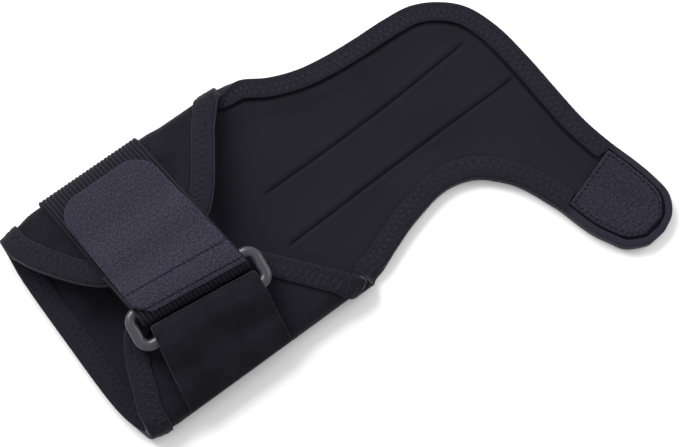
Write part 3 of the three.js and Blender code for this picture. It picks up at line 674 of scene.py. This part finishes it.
def tape_section():
    """Corners (d outward from the edge, t across the cloth)."""
    inner = CLOTH / 2 + TAPE_GAP
    outer = inner + TAPE
    lip = TAPE_GAP + TAPE
    r = .9
    lower = [(-(TAPE_WIDTH - .35) * k, -outer) for k in np.linspace(1, 0, 9)[:-1]]
    quarter = np.linspace(0, math.pi / 2, 5)
    low_turn = [(lip - r + r * math.sin(a), -outer + r - r * math.cos(a)) for a in quarter]
    end_up = [
        (-TAPE_WIDTH + .12, outer - .12), (-TAPE_WIDTH, (inner + outer) / 2),
        (-TAPE_WIDTH + .2, inner),
    ]
    under = [(-TAPE_WIDTH * k, inner) for k in np.linspace(.9, 0, 6)]

    def mirrored(part):
        return [(d, -t) for d, t in part[::-1]]

    inside = [(TAPE_GAP, inner), (TAPE_GAP, -inner)]
    outside = lower + low_turn + mirrored(low_turn) + mirrored(lower)
    return np.array(outside + end_up + under + inside + mirrored(under) + mirrored(end_up))


def arm_width(p, inward):
    """Width of the tape's arm on the lining: it ends at the hook patch's near edge."""
    narrow = PATCH_MARGIN - 2 * GAP - .1
    low = tongue_rib(PATCH_ROWS[0][0], [0.0])[0]
    high = tongue_rib(PATCH_ROWS[0][1], [1.0])[0]
    near = (high - low) / np.hypot(*(high - low))
    away = (p[:, 1] - low[1]) * near[0] - (p[:, 0] - low[0]) * near[1]
    growth = inward[:, 1] * near[0] - inward[:, 0] * near[1]
    growth = np.where(np.abs(growth) < 1e-6, 1e-6, growth)
    part = np.clip((ARM_CLEAR - away) / growth, narrow, TAPE_WIDTH)
    part = np.where(away + TAPE_WIDTH * growth >= ARM_CLEAR, TAPE_WIDTH, part)
    part = np.where(away + PATCH_MARGIN * growth < ARM_CLEAR, narrow, part)
    on_tongue = p[:, 0] > OPEN_TO * CUFF_LENGTH
    return np.where(on_tongue, part, TAPE_WIDTH)


def tape_place(p, inward, d, t):
    """Places of the tape: beyond the cut edge it keeps the edge's own height."""
    x = p[:, None, 0] - d * inward[:, None, 0]
    s = p[:, None, 1] - d * inward[:, None, 1]
    at = place(x, s, t)
    root = place(*(np.broadcast_to(p[:, None, k], d.shape) for k in (0, 1)), t)
    flat_root = place(p[:, 0], p[:, 1], 0)[:, None, 2]
    flat = place(x, s, 0)[..., 2]
    at[..., 2] += np.where(d > 0, root[..., 2] - flat_root - (at[..., 2] - flat), 0)
    return at


def edge_tape(name, first, last, knit):
    """Binding wrapped round the cut edge from its first to its last point."""
    p, inward, run = edge_stations(first, last, 1.1 / FINE)
    section = tape_section()
    width = arm_width(p, inward)[:, None]
    d = np.broadcast_to(section[:, 0], (len(p), len(section))).copy()
    t = np.broadcast_to(section[:, 1], d.shape).copy()
    lining = (t > 0) & (d < 0)
    d = np.where(lining, d * width / TAPE_WIDTH, d)
    # soft puckers where the stitches hold the tape down
    skin = np.abs(t) > CLOTH / 2 + TAPE_GAP + .3
    swell = .12 * np.sin(run[:, None] * 2 * math.pi / 2.6 + d * 1.3) * np.clip(-d, 0, 2) / 2
    t = np.where(skin, t - np.sign(t) * (.12 - np.abs(swell)), t)
    rows = tape_place(p, inward, d, t)
    around = run_of(np.vstack([section, section[:1]]))
    uv = np.stack(np.broadcast_arrays(run[:, None], around[None]), 2)
    return sweep(name, rows, uv, (knit,))


# Sewing threads
def thread_nodes():
    """Instances one short rounded thread on every point, laid along its own direction."""
    tree = bpy.data.node_groups.new("sewn_threads", "GeometryNodeTree")
    face = tree.interface
    face.new_socket("Geometry", in_out="INPUT", socket_type="NodeSocketGeometry")
    for label, value in (("Length", .001), ("Thickness", .0003), ("Shortest", .9)):
        socket = face.new_socket(label, in_out="INPUT", socket_type="NodeSocketFloat")
        socket.default_value = value
    seed = face.new_socket("Seed", in_out="INPUT", socket_type="NodeSocketInt")
    seed.default_value = 7
    face.new_socket("Thread", in_out="INPUT", socket_type="NodeSocketMaterial")
    face.new_socket("Geometry", in_out="OUTPUT", socket_type="NodeSocketGeometry")

    def add(kind, feeds, **settings):
        return add_node(tree, kind, feeds, **settings)

    given = add("NodeGroupInput", {})
    thick = given["Thickness"]
    ball = add("GeometryNodeMeshUVSphere", {"Segments": 6, "Rings": 5, "Radius": .5})
    size = add("ShaderNodeCombineXYZ", {"X": thick, "Y": thick, "Z": given["Length"]})
    shaped = add("GeometryNodeTransform", {"Geometry": ball["Mesh"], "Scale": size["Vector"]})
    along = add("GeometryNodeInputNamedAttribute", {"Name": "along"}, data_type="FLOAT_VECTOR")
    turn = add("FunctionNodeAlignRotationToVector", {"Vector": along["Attribute"]}, axis="Z")
    vary = add("FunctionNodeRandomValue",
               {"Min": given["Shortest"], "Max": 1, "Seed": given["Seed"]}, data_type="FLOAT")
    put = add("GeometryNodeInstanceOnPoints", {
        "Points": given["Geometry"], "Instance": shaped["Geometry"],
        "Rotation": turn["Rotation"], "Scale": vary["Value"],
    })
    real = add("GeometryNodeRealizeInstances", {"Geometry": put["Instances"]})
    finish = add("GeometryNodeSetMaterial",
                 {"Geometry": real["Geometry"], "Material": given["Thread"]})
    add("NodeGroupOutput", {"Geometry": finish["Geometry"]})
    return tree


THREADS = thread_nodes()


def sewn(name, centres, along, length, thickness, material, seed=7):
    """Short threads, millimetre sizes, at frame places with frame directions, as one plain mesh."""
    data = bpy.data.meshes.new(name + "_places")
    data.from_pydata([tuple(c) for c in centres], [], [])
    attribute = data.attributes.new("along", "FLOAT_VECTOR", "POINT")
    attribute.data.foreach_set("vector", np.asarray(along, np.float32).ravel())
    obj = bpy.data.objects.new(name, data)
    bpy.context.collection.objects.link(obj)
    modifier = obj.modifiers.new("threads", "NODES")
    modifier.node_group = THREADS
    keys = {i.name: i.identifier for i in THREADS.interface.items_tree if i.in_out == "INPUT"}
    modifier[keys["Length"]] = length / 1000
    modifier[keys["Thickness"]] = thickness / 1000
    modifier[keys["Seed"]] = seed
    modifier[keys["Thread"]] = material
    graph = bpy.context.evaluated_depsgraph_get()
    plain = bpy.data.meshes.new_from_object(obj.evaluated_get(graph), depsgraph=graph)
    obj.modifiers.clear()
    obj.data = plain
    plain.name = name
    if not plain.materials:
        plain.materials.append(material)
    plain.polygons.foreach_set("use_smooth", np.ones(len(plain.polygons), bool))
    return obj


def tape_stitches(name, first, last):
    """Uneven zigzag of thread down both faces of the tape."""
    p, inward = edge_stations(first, last, STITCH_PITCH)[:2]
    width = arm_width(p, inward)
    uneven = np.random.default_rng(len(p))
    centres, along = [], []
    for face in (1, -1):
        t = face * (CLOTH / 2 + TAPE_GAP + TAPE - .02)
        near = -ZIGZAG_NEAR
        far = ZIGZAG_HEM - (width if face > 0 else np.full(len(p), TAPE_WIDTH))
        zig = np.where(np.arange(len(p)) % 2 == 0, near, far)
        wide = (near - far) > 1.2
        d = (zig + uneven.uniform(-.4, .4, len(p)) * wide)[:, None]
        ends = tape_place(p, inward, d, np.full_like(d, t))[:, 0]
        step = ends[1:] - ends[:-1]
        keep = wide[1:] & wide[:-1]
        for at in (.27, .73):
            centres.append((ends[:-1] + step * at)[keep])
            along.append(step[keep])
    return sewn(name, np.concatenate(centres), np.concatenate(along), 2.5, THREAD, TAPE_THREAD)


# Straps
RING_SKEW = math.tan(-RING_TURN)
ROD_CENTRE = TAPE_STACK + GAP + STRAP + ROD_PLAY + ROD_DEPTH / 2
BAR_OFF = (RING_HEIGHT - ROD_WIDTH) / 2
BIGHT_RADIUS = ROD_DEPTH / 2 + ROD_PLAY + STRAP / 2
BIGHT_AT = RING_AT - BIGHT_REACH - STRAP / 2 - BIGHT_RADIUS


def layer_one(s):
    """Height of the strap's lower layer; it climbs onto the tape of the upper flap."""
    return GAP + STRAP / 2 + TAPE_STACK * smooth(s, FLAP_TIP - CLIMB_FROM, FLAP_TIP - CLIMB_TO)


STRAP_BOTTOM = float(layer_one(RING_AT))


def turned_layer(s):
    """The same for the layer that comes back from the ring."""
    low, high = STRAP_BOTTOM + STRAP + GAP, STRAP_BOTTOM + 2 * BIGHT_RADIUS
    return mix(low, high, smooth(s, TURNED_END + 3, BIGHT_AT - 2))


def skew_at(s):
    """How far the strap has turned to lie square to the ring, as a share."""
    return smooth(s, TURNED_END, BIGHT_AT - 4)


def lean_of(path):
    """The direction of the thickness, square to a path of (s, h) places."""
    ahead = np.gradient(path[:, :2], axis=0)
    ahead /= np.linalg.norm(ahead, axis=1)[:, None]
    return np.stack([-ahead[:, 1], ahead[:, 0]], 1)


def path_of(parts, step):
    """Joins (s, h, skew) places into an evenly stepped path with its thickness direction."""
    p = np.concatenate(parts)
    run = run_of(p[:, :2])
    at = np.linspace(0, run[-1], int(run[-1] / step) + 1)
    q = np.stack([np.interp(at, run, p[:, k]) for k in range(3)], 1)
    q[1:-1, :2] = (q[2:, :2] + q[:-2, :2] + 2 * q[1:-1, :2]) / 4
    return q, lean_of(q), at


def half_turn(centre, height, radius):
    """A turn round one long side of the ring."""
    a = np.linspace(-math.pi / 2, math.pi / 2, 24)
    return np.stack([centre + radius * np.cos(a), height + radius * np.sin(a), np.ones(24)], 1)


def strap_section(thick, across, ribs=0, depth=0.0):
    """Rounded section: share of the half width, millimetres past it, share of the thickness."""
    r = thick / 2
    q = np.linspace(-1, 1, across)
    face = 1 - depth / r * (.5 - .5 * np.cos(q * math.pi * ribs)) if ribs else np.ones(across)
    turn = np.linspace(0, math.pi, 7)[1:-1]
    right = [(1, r * math.sin(a), math.cos(a)) for a in turn]
    left = [(-1, -r * math.sin(a), -math.cos(a)) for a in turn]
    top = [(k, 0, f) for k, f in zip(q, face)]
    low = [(k, 0, -f) for k, f in zip(q[::-1], face[::-1])]
    return np.array(top + right + low + left)


def round_ends(run, r):
    """Share of the full thickness along a strip whose two ends are rounded with radius r."""
    end = np.minimum(run, run[-1] - run)
    return np.sqrt(np.clip(1 - (1 - np.clip(end / r, 0, 1)) ** 2, .04, 1))


def ribbon(name, path, lean, run, section, width, thick, side, material, narrow=None, trim=None):
    """A strip along its path: side is 1 for the strap and the tab, -1 for the ring loop."""
    narrow = np.zeros(len(path)) if narrow is None else narrow
    trim = np.zeros(len(path)) if trim is None else trim
    r = thick / 2
    swell = round_ends(run, r)
    s, h, skew = path.T
    half = width / 2 - narrow - r
    aside = half[:, None] * section[None, :, 0] + section[None, :, 1]
    aside = aside + trim[:, None] * (1 - section[None, :, 0]) / 2
    away = section[None, :, 2] * (r * swell)[:, None]
    middle = strap_middle(s) if side > 0 else loop_middle(s)
    shift = side * skew[:, None] * RING_SKEW * (aside + middle[:, None] - RING_X)
    across = s[:, None] + shift + away * lean[:, :1]
    out = h[:, None] + away * lean[:, 1:]
    rows = place(middle[:, None] + aside, side * across, -(CLOTH / 2 + out))
    beside = section[:, 0] * width / 2 + section[:, 1]
    around = np.concatenate([[0], np.cumsum(np.abs(np.diff(np.append(beside, beside[0]))))])
    uv = np.stack(np.broadcast_arrays(around[None], run[:, None]), 2)
    return sweep(name, rows, uv, (material,))


def elastic_path():
    """The strap's lower layer, its turn round the ring and the layer back."""
    low = np.arange(STRAP_START, BIGHT_AT, .5)
    lower = np.stack([low, layer_one(low), skew_at(low)], 1)
    bight = half_turn(BIGHT_AT, STRAP_BOTTOM + BIGHT_RADIUS, BIGHT_RADIUS)
    back = np.arange(BIGHT_AT, TURNED_END, -.5)[1:]
    upper = np.stack([back, turned_layer(back), skew_at(back)], 1)
    return [lower, bight, upper]


def elastic_strap():
    path, lean, run = path_of(elastic_path(), .7 / FINE)
    section = strap_section(STRAP, int(RIBS * RIB_STEPS * FINE) + 1, ribs=RIBS, depth=RIB_DEPTH)
    return ribbon("ribbed_strap", path, lean, run, section, STRAP_WIDTH, STRAP, 1, ELASTIC)


def tab_height(s):
    """Height of the tab's middle over the outer face."""
    near = smooth(s, TURNED_END - 16, TURNED_END - 1)
    return STRAP / 2 + GAP + TAB / 2 + mix(float(layer_one(TAB_FAR)), turned_layer(s), near)


def tab_narrow(s):
    """How much each side draws in: the taper and the far end's round corners."""
    left = np.clip(TAB_CORNER - (s - TAB_FAR), 0, TAB_CORNER)
    taper = TAB_TAPER / 2 * (1 - (s - TAB_FAR) / TAB_RUN)
    return taper + TAB_CORNER - np.sqrt(np.maximum(TAB_CORNER ** 2 - left ** 2, 0))


def hook_tab():
    far = TAB_FAR + TAB_CORNER * (1 - np.cos(np.linspace(0, math.pi / 2, 16)))
    near = TAB_NEAR - np.array([.9, .6, .35, .15, 0])
    s = np.concatenate([far, np.arange(far[-1] + .8, TAB_NEAR - 1.2, .8), near])
    path = np.stack([s, tab_height(s), skew_at(s)], 1)
    section = strap_section(TAB, 61)
    narrow, trim = tab_narrow(s), np.clip(TAB_TRIM - (TAB_NEAR - s), 0, None)
    lean, run = lean_of(path), s - s[0]
    return ribbon("woven_tab", path, lean, run, section, TAB_WIDTH, TAB, 1, HOOK, narrow, trim)


def tab_stitches():
    """Two rows across the tab where it is sewn to the strap."""
    centres, along = [], []

    def row(aside, s):
        skew = skew_at(s)
        middle = strap_middle(s)
        across = s + skew * RING_SKEW * (aside + middle - RING_X)
        return place(middle + aside, across, -(CLOTH / 2 + tab_height(s) + TAB / 2 - .05))

    for back in SEWN_ROWS:
        half = TAB_WIDTH / 2 - TAB_HEM
        aside = np.arange(-half + max(0, TAB_TRIM - back), half, TAB_PITCH)
        s = np.full_like(aside, TAB_NEAR - back)
        a, b = row(aside, s), row(aside + TAB_STITCH, s)
        centres.append((a + b) / 2)
        along.append(b - a)
    centres, along = np.concatenate(centres), np.concatenate(along)
    return sewn("tab_stitches", centres, along, 1.45, THREAD, DARK_THREAD)


def loop_shape():
    """The loop's layer on the flap, its turn round the ring and the layer back."""
    radius = ROD_DEPTH / 2 + ROD_PLAY + LOOP / 2
    centre = LOOP_AT - LOOP_REACH - LOOP / 2 - radius
    merge = centre - BAR_OFF - ROD_WIDTH - 4
    on_flap = GAP + LOOP / 2

    def upper(s):
        drop = mix(on_flap, on_flap + LOOP + GAP, smooth(s, merge - 10, merge - 3))
        return mix(drop, ROD_CENTRE + radius, smooth(s, merge, centre - 4))

    def skew(s):
        return smooth(s, merge - 12, centre - 3)

    low = np.arange(merge - 2, centre, .5)
    height = mix(on_flap, ROD_CENTRE - radius, smooth(low, merge, centre - 4))
    lower = np.stack([low, height, skew(low)], 1)
    top = np.arange(centre, BACK_HALF + LOOP_HEM * FOLD_ARC, -.5)[1:]
    return [lower, half_turn(centre, ROD_CENTRE, radius), np.stack([top, upper(top), skew(top)], 1)]


def ring_loop():
    path, lean, run = path_of(loop_shape(), .7 / FINE)
    section = strap_section(LOOP, 61)
    flare = LOOP_FLARE * (path[:, 0] - LOOP_AT)
    name = "ring_loop_cloth"
    return ribbon(name, path, lean, run, section, LOOP_WIDTH, LOOP, -1, LOOP_NAP, flare)


# Ring
def ring_rod():
    """A rod swept round a rounded rectangle, tilted as the crown is where it lies."""
    corner = RING_CORNER - ROD_WIDTH / 2
    a, b = (RING_LENGTH - ROD_WIDTH) / 2 - corner, (RING_HEIGHT - ROD_WIDTH) / 2 - corner
    path, outward = [], []
    for sx, sy, start in ((1, 1, 0), (-1, 1, 90), (-1, -1, 180), (1, -1, 270)):
        for turned in np.linspace(0, 90, 15):
            angle = math.radians(start + turned)
            out = np.array([math.cos(angle), math.sin(angle), 0])
            path.append(np.array([sx * a, sy * b, 0]) + out * corner)
            outward.append(out)
        corner_end = path[-1]
        heading = np.array([-math.sin(angle), math.cos(angle), 0])
        span = 2 * (a if start in (0, 180) else b)
        for k in range(1, 8):
            path.append(corner_end + heading * span * k / 8)
            outward.append(outward[-1])
    path, outward = np.array(path), np.array(outward)
    sides = 28
    angle = -2 * math.pi * np.arange(sides) / sides
    rows = path[:, None] + outward[:, None] * (ROD_WIDTH / 2) * np.cos(angle)[None, :, None]
    rows[..., 2] += (ROD_DEPTH / 2) * np.sin(angle)
    centre = place(RING_X, RING_AT, -(CLOTH / 2 + ROD_CENTRE), to_frame=False)
    tilt = (HALF_GIRTH - RING_AT) / -CROWN_RADIUS
    turned = np.array(Matrix.Rotation(RING_TURN, 3, "Z") @ Matrix.Rotation(tilt, 3, "X"))
    rows = (rows @ turned.T + centre + ORIGIN) / 1000
    run = np.arange(len(path) + 1) * 1.3
    around = np.linspace(0, 12.6, sides + 1)
    uv = np.stack(np.broadcast_arrays(run[:, None], around[None]), 2)
    return sweep("ring_rod", rows, uv, (PLASTIC,), closed=True)


# Tip patch
def patch_ends(share):
    """The patch's two side points at a share of its length from its near edge."""
    shares = np.linspace(0, 1, len(PATCH_ROWS))
    inner, outer = (np.interp(share, shares, side) for side in zip(*PATCH_ROWS))
    rounding = smooth(inner, PATCH_ROUND, PATCH_ROWS[-1][0])
    low, high = tongue_rib(inner, [0.0])[0], tongue_rib(outer, [1.0])[0]
    unit = (high - low) / np.hypot(*(high - low))
    margin = PATCH_MARGIN + PATCH_END * rounding ** 2
    return np.array([low + unit * margin, high - unit * margin])


def tip_patch():
    ends = np.array([patch_ends(k) for k in np.linspace(0, 1, int(60 * FINE))])
    middle, r = ends.mean(1), PATCH / 2
    swell = round_ends(run_of(middle), r)
    section = strap_section(PATCH, 41)
    half = (ends[:, 1] - ends[:, 0]) / 2
    length = np.linalg.norm(half, axis=1)
    unit = half / length[:, None]
    reach = (length - r)[:, None] * section[None, :, 0] + section[None, :, 1]
    x = middle[:, None, 0] + unit[:, None, 0] * reach
    s = middle[:, None, 1] + unit[:, None, 1] * reach
    t = CLOTH / 2 + GAP + PATCH / 2 + section[None, :, 2] * (r * swell)[:, None]
    rows = place(x, s, t)
    uv = np.stack([x, s], 2)
    uv = np.concatenate([uv, uv[:, :1]], 1)
    return sweep("tip_patch", rows, uv, (TIP_HOOK,))


def patch_stitches():
    """A row of stitches just inside the patch's edge."""
    inset = []
    for share in np.linspace(.04, .96, 50):
        e = patch_ends(share)
        unit = (e[1] - e[0]) / np.hypot(*(e[1] - e[0]))
        inset.append((e[0] + unit * PATCH_HEM, e[1] - unit * PATCH_HEM))
    inset = np.array(inset)
    first = inset[0, 0] + np.linspace(0, 1, 20)[:, None] * (inset[0, 1] - inset[0, 0])
    last = inset[-1, 1] + np.linspace(0, 1, 10)[:, None] * (inset[-1, 0] - inset[-1, 1])
    line = np.concatenate([first[:-1], inset[:, 1], last[1:], inset[::-1, 0]])
    run = run_of(line)
    at = np.arange(0, run[-1], PATCH_PITCH)

    def spot(where):
        x, s = (np.interp(where, run, line[:, k]) for k in (0, 1))
        return place(x, s, CLOTH / 2 + GAP + PATCH + .02)

    a, b = spot(at), spot(np.minimum(at + PATCH_STITCH, run[-1]))
    return sewn("patch_stitches", (a + b) / 2, b - a, 1.6, THREAD, DARK_THREAD)


# The pieces on their bodies
cloth = wrap_cloth()
thumb_tape = edge_tape("thumb_tape", low_corner, high_corner, THUMB_KNIT)
cuff_tape = edge_tape("cuff_tape", high_corner, len(edge) + low_corner, CUFF_KNIT)
thumb_zigzag = tape_stitches("thumb_tape_stitches", low_corner, high_corner)
cuff_zigzag = tape_stitches("cuff_tape_stitches", high_corner, len(edge) + low_corner)
strap = elastic_strap()
tab = hook_tab()
tab_rows = tab_stitches()
ring = ring_rod()
loop = ring_loop()
patch = tip_patch()
patch_rows = patch_stitches()

for piece, node in (
    (cloth, "wrap_panel"), (thumb_tape, "thumb_binding"), (cuff_tape, "cuff_binding"),
    (strap, "elastic_strap"), (tab, "hook_tab"), (ring, "ring"), (loop, "ring_loop"),
    (patch, "thumb_hook_patch"),
):
    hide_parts(node)
for piece, slot in (
    (cloth, "wrap_cloth"), (thumb_tape, "edge_tape"), (cuff_tape, "edge_tape"),
    (thumb_zigzag, "edge_tape"), (cuff_zigzag, "edge_tape"), (strap, "strap_elastic"),
    (tab, "tab_hook_cloth"), (tab_rows, "tab_hook_cloth"), (ring, "ring_plastic"),
    (loop, "loop_cloth"), (patch, "patch_hook_cloth"), (patch_rows, "patch_hook_cloth"),
):
    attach(piece, "root")


strap_run = path_of(elastic_path(), 1)[2][-1]
loop_run = path_of(loop_shape(), 1)[2][-1]

# Surface, light and camera
bpy.ops.mesh.primitive_plane_add(size=6, location=(0, 0, 0))
floor = bpy.context.object
floor.name = "floor"
pale = bpy.data.materials.new("pale_paper")
pale.use_nodes = True
pale.node_tree.nodes["Principled BSDF"].inputs["Base Color"].default_value = (.93, .93, .93, 1)
pale.node_tree.nodes["Principled BSDF"].inputs["Roughness"].default_value = .9
floor.data.materials.append(pale)


def softbox(name, place_at, aim, size, power):
    light = bpy.data.lights.new(name, "AREA")
    light.shape = "RECTANGLE"
    light.size, light.size_y = size
    light.energy = power
    lamp = bpy.data.objects.new(name, light)
    lamp.location = place_at
    lamp.rotation_euler = (Vector(aim) - Vector(place_at)).to_track_quat("-Z", "Y").to_euler()
    bpy.context.collection.objects.link(lamp)


softbox("window", (-.10, 1.05, .95), (0, 0, 0), (1.0, .8), 22)
softbox("side", (1.0, -.2, .8), (0, 0, 0), (.7, .7), 4)
world = bpy.data.worlds.new("studio")
world.use_nodes = True
world.node_tree.nodes["Background"].inputs["Color"].default_value = (1, 1, 1, 1)
world.node_tree.nodes["Background"].inputs["Strength"].default_value = .75
bpy.context.scene.world = world
bpy.context.scene.view_settings.view_transform = "Standard"

azimuth, elevation, distance = math.radians(-37), math.radians(72), .610
target = Vector((.0015, .0026, 0))
level = math.cos(elevation)
back = Vector((math.sin(azimuth) * level, -math.cos(azimuth) * level, math.sin(elevation)))
lens = bpy.data.cameras.new("camera")
lens.lens = 85
lens.sensor_width = 36
camera = bpy.data.objects.new("camera", lens)
camera.location = target + back * distance
camera.rotation_euler = (-back).to_track_quat("-Z", "Y").to_euler()
bpy.context.collection.objects.link(camera)
bpy.context.scene.camera = camera
